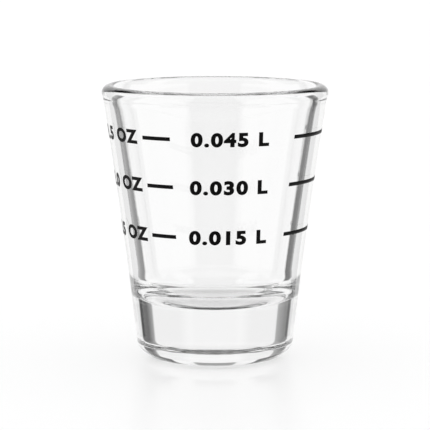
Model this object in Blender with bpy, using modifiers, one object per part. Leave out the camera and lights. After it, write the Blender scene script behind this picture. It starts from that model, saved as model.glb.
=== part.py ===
"""Measuring shot glass: one piece of clear pressed glass with a thick solid foot, a gently
flared wall and a rolled rim. Metres, +Z up, origin at the middle of the flat underside."""

import math

import bpy

# Driving dimensions of the outside
HEIGHT = 0.0654
RIM_RADIUS = 0.0269
LIP_RADIUS = 0.0019
WALL_TOP_RADIUS = 0.02675
WALL_FOOT_RADIUS = 0.01876
WALL_FOOT_HEIGHT = 0.0044
WALL_FOOT_SLOPE = 0.111
HEEL_SHOULDER_RADIUS = 0.0031
HEEL_UNDERSIDE_RADIUS = 0.0062
HEEL_CHANGE_ANGLE = 35

# Driving dimensions of the inside
FLOOR_HEIGHT = 0.0134
BOWL_RADIUS = 0.0098
BOWL_DEPTH = 0.0076
WALL_THICKNESS_FOOT = 0.0039
WALL_THICKNESS_LIP = 0.0034
LIP_INSIDE_DEPTH = 0.0028

# How finely the turned shape is divided
SIDES = 72
WALL_STEPS = 8
SHOULDER_STEPS = 3
UNDERSIDE_STEPS = 6
LIP_STEPS = 5
LIP_TUCK_STEPS = 2
BOWL_STEPS = 10

GLASS_COLOUR = (0.93, 0.95, 0.95, 1.0)


def outer_radius(height):
    """The outside of the wall: a straight cone from the heel, with a slight bow outwards."""
    rise = height - WALL_FOOT_HEIGHT
    full_rise = HEIGHT - LIP_RADIUS - WALL_FOOT_HEIGHT
    bow = WALL_TOP_RADIUS - WALL_FOOT_RADIUS - WALL_FOOT_SLOPE * full_rise
    return WALL_FOOT_RADIUS + WALL_FOOT_SLOPE * rise + bow * (rise / full_rise) ** 2


def inner_radius(height):
    """The inside of the wall, which thins evenly from the cavity floor to the lip."""
    share = (height - FLOOR_HEIGHT) / (HEIGHT - LIP_RADIUS - FLOOR_HEIGHT)
    thickness = WALL_THICKNESS_FOOT + (WALL_THICKNESS_LIP - WALL_THICKNESS_FOOT) * share
    return outer_radius(height) - thickness


def arc(centre, width, depth, first_angle, last_angle, steps):
    """Points of an arc in the radius and height plane, both ends included: a circle's where its
    width and depth are equal, or else an ellipse's."""
    points = []
    for step in range(steps + 1):
        angle = math.radians(first_angle + (last_angle - first_angle) * step / steps)
        points.append((centre[0] + width * math.cos(angle), centre[1] + depth * math.sin(angle)))
    return points


def between(low, high, steps):
    """Evenly spaced heights strictly between two heights."""
    return [low + (high - low) * step / steps for step in range(1, steps)]


def bowl():
    """The cavity's floor: flat in the middle, then curving up into the wall."""
    centre_height = FLOOR_HEIGHT + BOWL_DEPTH
    centre = (inner_radius(centre_height) - BOWL_RADIUS, centre_height)
    return [(0.0, FLOOR_HEIGHT)] + arc(centre, BOWL_RADIUS, BOWL_DEPTH, -90, 0, BOWL_STEPS)


def lip():
    """The rolled rim, from the inside of the wall over its crest and a little under it outside."""
    crest = RIM_RADIUS - LIP_RADIUS
    inside_low = HEIGHT - LIP_INSIDE_DEPTH
    inside_width = crest - inner_radius(inside_low)
    tuck_angle = math.degrees(math.acos(1 - (RIM_RADIUS - WALL_TOP_RADIUS) / LIP_RADIUS))
    centre = (crest, HEIGHT - LIP_RADIUS)
    points = arc((crest, inside_low), inside_width, LIP_INSIDE_DEPTH, 180, 90, LIP_STEPS)
    points += arc(centre, LIP_RADIUS, LIP_RADIUS, 90, 0, LIP_STEPS)[1:]
    points += arc(centre, LIP_RADIUS, LIP_RADIUS, 0, -tuck_angle, LIP_TUCK_STEPS)[1:]
    return points


def heel():
    """The rounded heel: a tight shoulder that runs on from the leaning wall, then a flatter
    curve down to the flat underside."""
    lean = math.atan(WALL_FOOT_SLOPE)
    change = math.radians(HEEL_CHANGE_ANGLE)
    offset = HEEL_UNDERSIDE_RADIUS - HEEL_SHOULDER_RADIUS
    shoulder_height = HEEL_UNDERSIDE_RADIUS - offset * math.sin(change)
    top = shoulder_height - HEEL_SHOULDER_RADIUS * math.sin(lean)
    shoulder = (outer_radius(top) - HEEL_SHOULDER_RADIUS * math.cos(lean), shoulder_height)
    underside = (shoulder[0] - offset * math.cos(change), HEEL_UNDERSIDE_RADIUS)
    points = arc(
        shoulder, HEEL_SHOULDER_RADIUS, HEEL_SHOULDER_RADIUS, -math.degrees(lean), -HEEL_CHANGE_ANGLE,
        SHOULDER_STEPS)
    points += arc(
        underside, HEEL_UNDERSIDE_RADIUS, HEEL_UNDERSIDE_RADIUS, -HEEL_CHANGE_ANGLE, -90,
        UNDERSIDE_STEPS)[1:]
    return points


def glass_profile():
    """The closed half section, from the cavity floor up the inside and down the outside."""
    profile = bowl()
    rim = lip()
    foot = heel()
    profile += [(inner_radius(z), z) for z in between(profile[-1][1], rim[0][1], WALL_STEPS)]
    profile += rim
    profile += [(outer_radius(z), z) for z in between(rim[-1][1], foot[0][1], WALL_STEPS)]
    profile += foot
    profile.append((0.0, 0.0))
    return profile


def glass_material():
    """Clear soda-lime glass: colourless, smooth and fully see-through."""
    material = bpy.data.materials.new("clear_glass")
    material.use_nodes = True
    shader = material.node_tree.nodes["Principled BSDF"]
    shader.inputs["Base Color"].default_value = GLASS_COLOUR
    shader.inputs["Roughness"].default_value = 0.02
    shader.inputs["Metallic"].default_value = 0.0
    shader.inputs["IOR"].default_value = 1.52
    shader.inputs["Transmission Weight"].default_value = 1.0
    return material


def turned_glass(collection):
    """Turns the half section round the upright axis into one closed solid."""
    profile = glass_profile()
    mesh = bpy.data.meshes.new("glass")
    points = [(radius, 0.0, height) for radius, height in profile]
    edges = [(index, index + 1) for index in range(len(points) - 1)]
    mesh.from_pydata(points, edges, [])
    mesh.materials.append(glass_material())
    glass = bpy.data.objects.new("glass", mesh)
    collection.objects.link(glass)

    turn = glass.modifiers.new("turn", "SCREW")
    turn.axis = "Z"
    turn.angle = math.radians(360)
    turn.steps = SIDES
    turn.render_steps = SIDES
    turn.use_merge_vertices = True
    turn.merge_threshold = 0.00001
    turn.use_smooth_shade = True
    return glass


def main():
    for thing in list(bpy.data.objects):
        bpy.data.objects.remove(thing)
    collection = bpy.data.collections.new("measuring_shot_glass")
    bpy.context.scene.collection.children.link(collection)
    turned_glass(collection)


main()
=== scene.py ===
import math

import bmesh
import bpy
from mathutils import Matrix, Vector


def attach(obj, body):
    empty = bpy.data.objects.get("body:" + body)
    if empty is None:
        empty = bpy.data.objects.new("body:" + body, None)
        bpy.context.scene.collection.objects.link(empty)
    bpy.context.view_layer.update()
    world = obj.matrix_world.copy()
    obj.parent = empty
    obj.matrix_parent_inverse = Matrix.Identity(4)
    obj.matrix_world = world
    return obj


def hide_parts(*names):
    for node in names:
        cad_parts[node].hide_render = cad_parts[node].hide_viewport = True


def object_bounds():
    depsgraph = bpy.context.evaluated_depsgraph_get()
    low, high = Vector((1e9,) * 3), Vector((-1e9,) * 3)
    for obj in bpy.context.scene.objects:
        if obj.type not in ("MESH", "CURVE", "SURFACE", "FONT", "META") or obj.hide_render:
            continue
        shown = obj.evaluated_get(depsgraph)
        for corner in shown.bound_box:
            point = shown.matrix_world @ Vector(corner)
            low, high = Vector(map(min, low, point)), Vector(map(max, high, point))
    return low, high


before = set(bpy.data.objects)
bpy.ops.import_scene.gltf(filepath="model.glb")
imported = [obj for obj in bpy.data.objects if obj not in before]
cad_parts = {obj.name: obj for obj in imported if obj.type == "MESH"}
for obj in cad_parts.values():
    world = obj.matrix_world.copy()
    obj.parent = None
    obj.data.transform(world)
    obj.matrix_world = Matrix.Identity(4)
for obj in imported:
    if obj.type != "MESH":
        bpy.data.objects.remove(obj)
cad_low, cad_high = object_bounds()


# The glass. One gob of clear soda-lime glass, pressed in a mould: a thick solid foot with a
# rounded heel, a gently flared wall and a fire-polished rim. The plunger left a rounded bowl
# of a floor in the cavity.

HEIGHT = cad_high.z - cad_low.z
RIM_RADIUS = (cad_high.x - cad_low.x) / 2
LIP_RADIUS = 0.0019
LIP_CENTRE_HEIGHT = HEIGHT - LIP_RADIUS
WALL_TOP_RADIUS = RIM_RADIUS - 0.00015
WALL_FOOT_RADIUS = 0.01876
WALL_FOOT_HEIGHT = 0.0044
WALL_FOOT_SLOPE = 0.111
HEEL_SHOULDER_RADIUS = 0.0031
HEEL_UNDERSIDE_RADIUS = 0.0062
HEEL_CHANGE_ANGLE = math.radians(35)

CAVITY_FLOOR = 0.0134
BOWL_RADIUS = 0.0098
BOWL_DEPTH = 0.0076
WALL_AT_FOOT = 0.0039
WALL_AT_LIP = 0.0034
LIP_INSIDE_DEPTH = 0.0028

ROUND_STEPS = 240
WALL_STEPS = 30
ARC_STEPS = 24
FLAT_STEPS = 8


def wall_outside(height):
    """Radius of the outside of the wall: a cone from the heel up, bowed out a little."""
    rise = height - WALL_FOOT_HEIGHT
    full_rise = LIP_CENTRE_HEIGHT - WALL_FOOT_HEIGHT
    bow = WALL_TOP_RADIUS - WALL_FOOT_RADIUS - WALL_FOOT_SLOPE * full_rise
    return WALL_FOOT_RADIUS + WALL_FOOT_SLOPE * rise + bow * (rise / full_rise) ** 2


def wall_inside(height):
    """Radius of the inside of the wall, which thins evenly from the cavity floor to the lip."""
    share = (height - CAVITY_FLOOR) / (LIP_CENTRE_HEIGHT - CAVITY_FLOOR)
    return wall_outside(height) - WALL_AT_FOOT - (WALL_AT_LIP - WALL_AT_FOOT) * share


def draw_to(outline, points):
    """Carries the open outline on from its last corner through more (radius, height) points."""
    for radius, height in points:
        corner = outline.verts.new((radius, 0, height))
        outline.verts.ensure_lookup_table()
        outline.edges.new((outline.verts[-2], corner))


def swing_round(outline, centre, degrees, steps, height_scale=1.0):
    """Carries the outline on round a centre like a compass. The arc may be flattened in height."""
    outline.verts.ensure_lookup_table()
    last = outline.verts[-1]
    pivot = Vector((centre[0], 0, centre[1]))
    last.co.z = pivot.z + (last.co.z - pivot.z) / height_scale
    before = set(outline.verts) - {last}
    bmesh.ops.spin(
        outline, geom=[last], cent=pivot, axis=(0, -1, 0), angle=math.radians(degrees), steps=steps,
        use_duplicate=False)
    for corner in set(outline.verts) - before:
        corner.co.z = pivot.z + (corner.co.z - pivot.z) * height_scale


def between(low, high, steps):
    """Even steps from just past the first height up to and with the second."""
    return [low + (high - low) * step / steps for step in range(1, steps + 1)]


def turned(outline, steps):
    """Spins an open outline right round the upright axis."""
    bmesh.ops.spin(
        outline, geom=outline.verts[:] + outline.edges[:], cent=(0, 0, 0), axis=(0, 0, 1), angle=math.tau,
        steps=steps, use_merge=True, use_duplicate=False)
    bmesh.ops.remove_doubles(outline, verts=outline.verts[:], dist=1e-7)
    bmesh.ops.recalc_face_normals(outline, faces=outline.faces[:])
    return outline


def pressed_glass():
    """The half section, drawn from the middle of the cavity floor over the lip to the underside."""
    outline = bmesh.new()
    outline.verts.new((0, 0, CAVITY_FLOOR))
    bowl_top = CAVITY_FLOOR + BOWL_DEPTH
    bowl_centre = wall_inside(bowl_top) - BOWL_RADIUS
    draw_to(outline, [(bowl_centre * step / FLAT_STEPS, CAVITY_FLOOR) for step in range(1, FLAT_STEPS + 1)])
    swing_round(outline, (bowl_centre, bowl_top), 90, ARC_STEPS, BOWL_DEPTH / BOWL_RADIUS)

    lip_inside_low = HEIGHT - LIP_INSIDE_DEPTH
    heights = between(bowl_top, lip_inside_low, WALL_STEPS)
    draw_to(outline, [(wall_inside(height), height) for height in heights])
    crest = RIM_RADIUS - LIP_RADIUS
    lip_inside_width = crest - wall_inside(lip_inside_low)
    swing_round(outline, (crest, lip_inside_low), -90, ARC_STEPS, LIP_INSIDE_DEPTH / lip_inside_width)
    tuck_angle = math.degrees(math.acos(1 - (RIM_RADIUS - WALL_TOP_RADIUS) / LIP_RADIUS))
    swing_round(outline, (crest, LIP_CENTRE_HEIGHT), -90 - tuck_angle, ARC_STEPS)

    lean = math.atan(WALL_FOOT_SLOPE)
    offset = HEEL_UNDERSIDE_RADIUS - HEEL_SHOULDER_RADIUS
    shoulder_height = HEEL_UNDERSIDE_RADIUS - offset * math.sin(HEEL_CHANGE_ANGLE)
    heel_top = shoulder_height - HEEL_SHOULDER_RADIUS * math.sin(lean)
    shoulder = wall_outside(heel_top) - HEEL_SHOULDER_RADIUS * math.cos(lean)
    underside = shoulder - offset * math.cos(HEEL_CHANGE_ANGLE)
    outline.verts.ensure_lookup_table()
    heights = between(outline.verts[-1].co.z, heel_top, WALL_STEPS)
    draw_to(outline, [(wall_outside(height), height) for height in heights])
    shoulder_turn = math.degrees(HEEL_CHANGE_ANGLE - lean)
    swing_round(outline, (shoulder, shoulder_height), -shoulder_turn, ARC_STEPS)
    underside_turn = 90 - math.degrees(HEEL_CHANGE_ANGLE)
    swing_round(outline, (underside, HEEL_UNDERSIDE_RADIUS), -underside_turn, ARC_STEPS)
    inwards = range(FLAT_STEPS - 1, -1, -1)
    draw_to(outline, [(underside * step / FLAT_STEPS, 0) for step in inwards])
    return turned(outline, ROUND_STEPS)


def make_piece(name, shape, material):
    """Turns a bmesh into an object at the origin, smooth shaded, with its material."""
    mesh = bpy.data.meshes.new(name)
    shape.to_mesh(mesh)
    shape.free()
    mesh.shade_smooth()
    mesh.materials.append(material)
    piece = bpy.data.objects.new(name, mesh)
    bpy.context.scene.collection.objects.link(piece)
    return piece


def linear(hex_colour):
    """An sRGB hex colour as the linear colour that a shader works in."""
    parts = [int(hex_colour[at:at + 2], 16) / 255 for at in (1, 3, 5)]
    return (*[part / 12.92 if part <= 0.04045 else ((part + 0.055) / 1.055) ** 2.4 for part in parts], 1)


def add_node(tree, kind, settings, links):
    """Adds a node: settings are attributes or values of its sockets, links are what feeds them."""
    node = tree.nodes.new("ShaderNode" + kind)
    for key, value in settings.items():
        if isinstance(key, str) and hasattr(node, key):
            setattr(node, key, value)
        else:
            node.inputs[key].default_value = value
    for key, source in links.items():
        tree.links.new(source, node.inputs[key])
    return node


def new_material(name):
    """A node material with nothing in it yet but its output."""
    material = bpy.data.materials.new(name)
    material.use_nodes = True
    material.node_tree.nodes.clear()
    return material, material.node_tree


def pressed_soda_lime_glass():
    """Pressed soda-lime glass, fire polished: colourless, with hard-edged reflections. The mould left
    the faintest waves in its surface, and it looks a little greyer the thicker it is."""
    material, tree = new_material("pressed_soda_lime_glass")
    place = add_node(tree, "TexCoord", {}, {})
    stretch = add_node(tree, "Mapping", {"Scale": (1, 1, 0.25)}, {"Vector": place.outputs["Object"]})
    wave_size, wave_depth = 0.009, 0.000012
    waves = add_node(
        tree, "TexNoise", {"Scale": 1 / wave_size, "Detail": 1.0}, {"Vector": stretch.outputs[0]})
    ripple = add_node(
        tree, "Bump", {"Strength": 1.0, "Distance": wave_depth}, {"Height": waves.outputs["Fac"]})
    glass = add_node(
        tree, "BsdfPrincipled",
        {"Base Color": linear("#FFFFFF"), "Roughness": 0.0, "IOR": 1.52, "Transmission Weight": 1.0},
        {"Normal": ripple.outputs[0]})
    loss_per_metre = 1.0
    body = add_node(tree, "VolumeAbsorption", {"Color": linear("#000000"), "Density": loss_per_metre}, {})
    add_node(tree, "OutputMaterial", {}, {"Surface": glass.outputs[0], "Volume": body.outputs[0]})
    return material


glass = make_piece("shot_glass", pressed_glass(), pressed_soda_lime_glass())
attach(glass, "root")
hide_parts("glass")


# The scale lines. Short level strokes of black ceramic ink, screen printed on the outside of
# the wall at three fill heights and fired on: one stroke left of each number, one right of it.

LINE_HEIGHTS = (0.05465, 0.04341, 0.03163)
LINE_WIDTH = 0.0009
LEFT_STROKE = (-41.2, -24.0)
RIGHT_STROKE = (46.3, 92.0)
STROKE_STEPS = 40
INK_SUNK = 0.00001
INK_THICKNESS = 0.00005


def wrap_on_wall(print_shape, turn):
    """Bends a flat print (X across, Y up) round the wall and gives it its thickness. Its back lies a
    hair inside the glass, so that no gap shows between the two."""
    for corner in print_shape.verts:
        across, height = corner.co.x, corner.co.y
        radius = wall_outside(height) - INK_SUNK
        angle = turn + across / radius
        corner.co = (radius * math.sin(angle), -radius * math.cos(angle), height)
    print_shape.normal_update()
    skin = bmesh.ops.extrude_face_region(print_shape, geom=print_shape.faces[:])
    for part in skin["geom"]:
        if isinstance(part, bmesh.types.BMVert):
            outwards = Vector((part.co.x, part.co.y, 0)).normalized()
            part.co += outwards * INK_THICKNESS
    bmesh.ops.recalc_face_normals(print_shape, faces=print_shape.faces[:])


def scale_lines():
    """The left and right stroke at each fill height, as one mesh."""
    strokes = bmesh.new()
    for height in LINE_HEIGHTS:
        radius = wall_outside(height)
        for first, last in (LEFT_STROKE, RIGHT_STROKE):
            stroke = bmesh.new()
            bmesh.ops.create_grid(stroke, x_segments=STROKE_STEPS, y_segments=2, size=0.5)
            length = math.radians(last - first) * radius
            bmesh.ops.scale(stroke, vec=(length, LINE_WIDTH, 1), verts=stroke.verts[:])
            bmesh.ops.translate(stroke, vec=(0, height, 0), verts=stroke.verts[:])
            wrap_on_wall(stroke, math.radians(first + last) / 2)
            finished = bpy.data.meshes.new("stroke")
            stroke.to_mesh(finished)
            stroke.free()
            strokes.from_mesh(finished)
            bpy.data.meshes.remove(finished)
    return strokes


def fired_black_enamel():
    """Fired ceramic ink: near black and satin, with a fine grain where it settled in firing. A line
    of sight that is still inside the first wall it entered finds it clear, so that no double image of
    the print shows in the wall's own thickness. Seen from across the cavity it is black again."""
    material, tree = new_material("fired_black_enamel")
    place = add_node(tree, "TexCoord", {}, {})
    grain_size, grain_depth = 0.00025, 0.00001
    grain = add_node(
        tree, "TexNoise", {"Scale": 1 / grain_size, "Detail": 3.0}, {"Vector": place.outputs["Object"]})
    shade = add_node(
        tree, "MixRGB", {"Color1": linear("#030303"), "Color2": linear("#080808")},
        {"Fac": grain.outputs["Fac"]})
    gloss = add_node(
        tree, "MapRange", {"To Min": 0.3, "To Max": 0.5}, {"Value": grain.outputs["Fac"]})
    relief = add_node(
        tree, "Bump", {"Strength": 0.4, "Distance": grain_depth}, {"Height": grain.outputs["Fac"]})
    ink = add_node(
        tree, "BsdfPrincipled", {"IOR": 1.5, "Specular IOR Level": 0.08},
        {"Base Color": shade.outputs[0], "Roughness": gloss.outputs[0], "Normal": relief.outputs[0]})
    path = add_node(tree, "LightPath", {}, {})
    within_wall = add_node(
        tree, "Math", {"operation": "COMPARE", 1: 1.0, 2: 0.5}, {0: path.outputs["Transmission Depth"]})
    side = add_node(tree, "NewGeometry", {}, {})
    unseen = add_node(
        tree, "Math", {"operation": "MAXIMUM"}, {0: within_wall.outputs[0], 1: side.outputs["Backfacing"]})
    clear = add_node(tree, "BsdfTransparent", {}, {})
    either = add_node(
        tree, "MixShader", {}, {0: unseen.outputs[0], 1: ink.outputs[0], 2: clear.outputs[0]})
    add_node(tree, "OutputMaterial", {}, {"Surface": either.outputs[0]})
    return material


enamel = fired_black_enamel()
lines = make_piece("scale_lines", scale_lines(), enamel)
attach(lines, "root")


# The scale numbers. Plain bold figures printed with the lines, in the same ink: a column of
# litres at the front and a column of ounces round the left side.

FIGURE_HEIGHT = 0.0034
FIGURE_BOLDNESS = 0.05
FIGURE_SPACING = 1.18
FIGURE_STRETCH = 1.22
CURVE_STEPS = 6
SLIVER = 0.0005
FRONT_COLUMN = ("0.045 L", "0.030 L", "0.015 L")
LEFT_COLUMN = ("1.5 OZ", "1.0 OZ", "0.5 OZ")
FRONT_TURN = 8.2
LEFT_COLUMN_END = -45.9


def flat_figures(words, align):
    """Words in the built-in type as a flat mesh, cut into upright slivers that can bend."""
    text = bpy.data.curves.new("words", "FONT")
    text.body = words
    text.align_x = align
    text.align_y = "CENTER"
    text.offset = FIGURE_BOLDNESS
    text.space_character = FIGURE_SPACING
    text.resolution_u = CURVE_STEPS
    text_object = bpy.data.objects.new("words", text)
    bpy.context.scene.collection.objects.link(text_object)
    bpy.context.view_layer.update()
    seen = text_object.evaluated_get(bpy.context.evaluated_depsgraph_get())
    mesh = bpy.data.meshes.new_from_object(seen)
    bpy.data.objects.remove(text_object)
    figures = bmesh.new()
    figures.from_mesh(mesh)
    bpy.data.meshes.remove(mesh)
    bmesh.ops.remove_doubles(figures, verts=figures.verts[:], dist=1e-5)
    top = max(corner.co.y for corner in figures.verts)
    bottom = min(corner.co.y for corner in figures.verts)
    size = FIGURE_HEIGHT / (top - bottom)
    bmesh.ops.translate(figures, vec=(0, -(top + bottom) / 2, 0), verts=figures.verts[:])
    bmesh.ops.scale(figures, vec=(size * FIGURE_STRETCH, size, 1), verts=figures.verts[:])
    left = min(corner.co.x for corner in figures.verts)
    right = max(corner.co.x for corner in figures.verts)
    for step in range(1, math.ceil((right - left) / SLIVER)):
        bmesh.ops.bisect_plane(
            figures, geom=figures.verts[:] + figures.edges[:] + figures.faces[:],
            plane_co=(left + SLIVER * step, 0, 0), plane_no=(1, 0, 0))
    return figures


def number_column(column, align, turn):
    """One column of figures, each on its line's height, bent round the wall."""
    printed = bmesh.new()
    for words, height in zip(column, LINE_HEIGHTS):
        figures = flat_figures(words, align)
        bmesh.ops.translate(figures, vec=(0, height, 0), verts=figures.verts[:])
        wrap_on_wall(figures, math.radians(turn))
        finished = bpy.data.meshes.new("figures")
        figures.to_mesh(finished)
        figures.free()
        printed.from_mesh(finished)
        bpy.data.meshes.remove(finished)
    return printed


for name, column, align, turn in (
        ("litre_numbers", FRONT_COLUMN, "CENTER", FRONT_TURN),
        ("ounce_numbers", LEFT_COLUMN, "RIGHT", LEFT_COLUMN_END)):
    numbers = make_piece(name, number_column(column, align, turn), enamel)
    numbers.data.shade_flat()
    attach(numbers, "root")


# The camera. A long lens more than half a metre in front of the glass, a little above the rim
# and looking slightly down at it.

CAMERA_DISTANCE = 0.59572
CAMERA_HEIGHT = 0.11361
CAMERA_TILT = 0.1327
CAMERA_LENS = 210.58

camera = bpy.data.objects.new("camera", bpy.data.cameras.new("camera"))
bpy.context.scene.collection.objects.link(camera)
camera.location = (0, -CAMERA_DISTANCE, CAMERA_HEIGHT)
camera.rotation_euler = (math.pi / 2 - CAMERA_TILT, 0, 0)
camera.data.sensor_width = 36
camera.data.lens = CAMERA_LENS
bpy.context.scene.camera = camera


# The table top. A white sheet with a slight shine. The glass sees only the part near its foot,
# and beyond that it sees the light tent, as it would on a small table.

TABLE_GAP = 0.0003
NEAR_TABLE = 0.035
FAR_TABLE = 4.0
TABLE_STEPS = 96
TABLE_SHINE = 0.18


def white_acrylic():
    """Satin white acrylic sheet: even white, with a blurred shine that grows at low angles."""
    material, tree = new_material("white_acrylic")
    matt = add_node(tree, "BsdfDiffuse", {"Color": linear("#F7F7F7")}, {})
    shine = add_node(tree, "BsdfGlossy", {"Color": linear("#FFFFFF"), "Roughness": 0.3}, {})
    angle = add_node(tree, "Fresnel", {"IOR": 1.4}, {})
    share = add_node(tree, "Math", {"operation": "MULTIPLY", 1: TABLE_SHINE}, {0: angle.outputs[0]})
    both = add_node(tree, "MixShader", {}, {0: share.outputs[0], 1: matt.outputs[0], 2: shine.outputs[0]})
    add_node(tree, "OutputMaterial", {}, {"Surface": both.outputs[0]})
    return material


def table_ring(name, inner, outer, material):
    """A flat ring or disc of table top, a hair below the glass."""
    edge = bmesh.new()
    edge.verts.new((inner, 0, -TABLE_GAP))
    draw_to(edge, [(outer, -TABLE_GAP)])
    table = make_piece(name, turned(edge, TABLE_STEPS), material)
    return table


acrylic = white_acrylic()
table_ring("table_top_near", 0, NEAR_TABLE, acrylic)
far_table = table_ring("table_top_far", NEAR_TABLE, FAR_TABLE, acrylic)
far_table.visible_glossy = False
far_table.visible_transmission = False


# The light tent. A round tent of glowing white cloth, with black cards on its wall and under
# its ceiling that draw the dark lines in the glass. It turns with the camera, as it would if the
# glass stood on a turntable. The lights are given by the angle from the middle of the backdrop:
# the backdrop, a card on each side of it, the white side walls and the dim room behind the camera.

TENT_RADIUS = 1.5
TENT_CENTRE = (0, 0, 0.03)
TENT_FACETS = 5
WALL_LIGHT = (
    (-180, 0.2), (-149, 0.2), (-147, 1.0), (-57, 1.0), (-55, 0.2), (-48, 0.18), (-38, 0.4), (-36.5, 0.92),
    (-18, 0.92), (-12, 0.99), (-9, 0.98), (9, 0.98), (12, 0.99), (18, 0.92), (36.5, 0.92),
    (38, 0.35), (44, 0.07), (55, 0.07), (57, 1.0), (147, 1.0), (149, 0.2), (180, 0.2))
CEILING_LIGHT = (
    (-180, 0.02), (-110, 0.02), (-108, 1), (-82, 1), (-80, 0.02), (-28, 0.02), (-26, 1), (-13, 1), (-11, 0.3),
    (11, 0.3), (13, 1), (26, 1), (28, 0.02), (80, 0.02), (82, 1), (108, 1), (110, 0.02), (180, 0.02))
CEILING_FROM = (25, 28)
SKYLIGHT_FROM = (65, 70)
SKYLIGHT = 0.02
GROUND_UPTO = (-25, -20)
ROOM_LIGHT = 1.11
SHADED_LIGHT = 0.9
LIGHT_BOUNCES = 40


def light_by_angle(tree, angle, stops, least, most):
    """A ramp of light over an angle in degrees, from (angle, light) stops."""
    share = add_node(tree, "MapRange", {"From Min": least, "From Max": most}, {"Value": angle})
    ramp = add_node(tree, "ValToRGB", {}, {"Fac": share.outputs[0]})
    marks = ramp.color_ramp.elements
    marks.remove(marks[1])
    for number, (at, light) in enumerate(stops):
        place = (at - least) / (most - least)
        mark = marks.new(place) if number else marks[0]
        mark.position = place
        mark.color = (light, light, light, 1)
    return ramp.outputs[0]


def tent_cloth():
    """Backlit white nylon: an even glow, dark where a black card hangs. What falls on the table
    through the glass is one even light instead, so that the cards draw nothing there."""
    material, tree = new_material("tent_cloth")
    place = add_node(tree, "TexCoord", {}, {})
    direction = add_node(tree, "VectorMath", {"operation": "NORMALIZE"}, {0: place.outputs["Object"]})
    parts = add_node(tree, "SeparateXYZ", {}, {0: direction.outputs[0]})
    turn = add_node(tree, "Math", {"operation": "ARCTAN2"}, {0: parts.outputs[0], 1: parts.outputs[1]})
    turn = add_node(tree, "Math", {"operation": "MULTIPLY", 1: 180 / math.pi}, {0: turn.outputs[0]})
    rise = add_node(tree, "Math", {"operation": "ARCSINE"}, {0: parts.outputs[2]})
    rise = add_node(tree, "Math", {"operation": "MULTIPLY", 1: 180 / math.pi}, {0: rise.outputs[0]})
    wall = light_by_angle(tree, turn.outputs[0], WALL_LIGHT, -180, 180)
    ceiling = light_by_angle(tree, turn.outputs[0], CEILING_LIGHT, -180, 180)
    skylight = (SKYLIGHT, SKYLIGHT, SKYLIGHT, 1)
    over = light_by_angle(tree, rise.outputs[0], tuple(zip(SKYLIGHT_FROM, (0, 1))), -90, 90)
    high = add_node(tree, "MixRGB", {"Color2": skylight}, {"Fac": over, "Color1": ceiling})
    above = light_by_angle(tree, rise.outputs[0], tuple(zip(CEILING_FROM, (0, 1))), -90, 90)
    upper = add_node(tree, "MixRGB", {}, {"Fac": above, "Color1": wall, "Color2": high.outputs[0]})
    below = light_by_angle(tree, rise.outputs[0], tuple(zip(GROUND_UPTO, (1, 0))), -90, 90)
    white = linear("#FFFFFF")
    whole = add_node(tree, "MixRGB", {"Color2": white}, {"Fac": below, "Color1": upper.outputs[0]})
    path = add_node(tree, "LightPath", {}, {})
    bounced = add_node(
        tree, "Math", {"operation": "GREATER_THAN", 1: 0.5}, {0: path.outputs["Diffuse Depth"]})
    shaded = (SHADED_LIGHT, SHADED_LIGHT, SHADED_LIGHT, 1)
    seen = add_node(
        tree, "MixRGB", {"Color2": shaded}, {"Fac": bounced.outputs[0], "Color1": whole.outputs[0]})
    glow = add_node(tree, "Emission", {}, {"Color": seen.outputs[0]})
    add_node(tree, "OutputMaterial", {}, {"Surface": glow.outputs[0]})
    return material


dome = bmesh.new()
bmesh.ops.create_icosphere(dome, subdivisions=TENT_FACETS, radius=TENT_RADIUS)
tent = make_piece("light_tent", dome, tent_cloth())
tent.location = TENT_CENTRE
tent.visible_camera = False
tent.visible_diffuse = False
tent.visible_shadow = False
follow = tent.constraints.new("LOCKED_TRACK")
follow.target = camera
follow.track_axis = "TRACK_NEGATIVE_Y"
follow.lock_axis = "LOCK_Z"

# The camera doesn't see the tent, only the even white beyond it, which also lights the table.
world = bpy.data.worlds.new("white_room")
world.use_nodes = True
room = world.node_tree.nodes["Background"]
room.inputs["Color"].default_value = linear("#FFFFFF")
room.inputs["Strength"].default_value = ROOM_LIGHT
bpy.context.scene.world = world

# The rim leads some of its light down inside the wall, where it dies out after this many bounces.
scene = bpy.context.scene
scene.cycles.max_bounces = LIGHT_BOUNCES
scene.cycles.transmission_bounces = LIGHT_BOUNCES
scene.cycles.glossy_bounces = LIGHT_BOUNCES
scene.view_settings.view_transform = "Standard"
scene.cycles.use_denoising = True
scene.cycles.sample_clamp_indirect = 0
scene.cycles.blur_glossy = 0
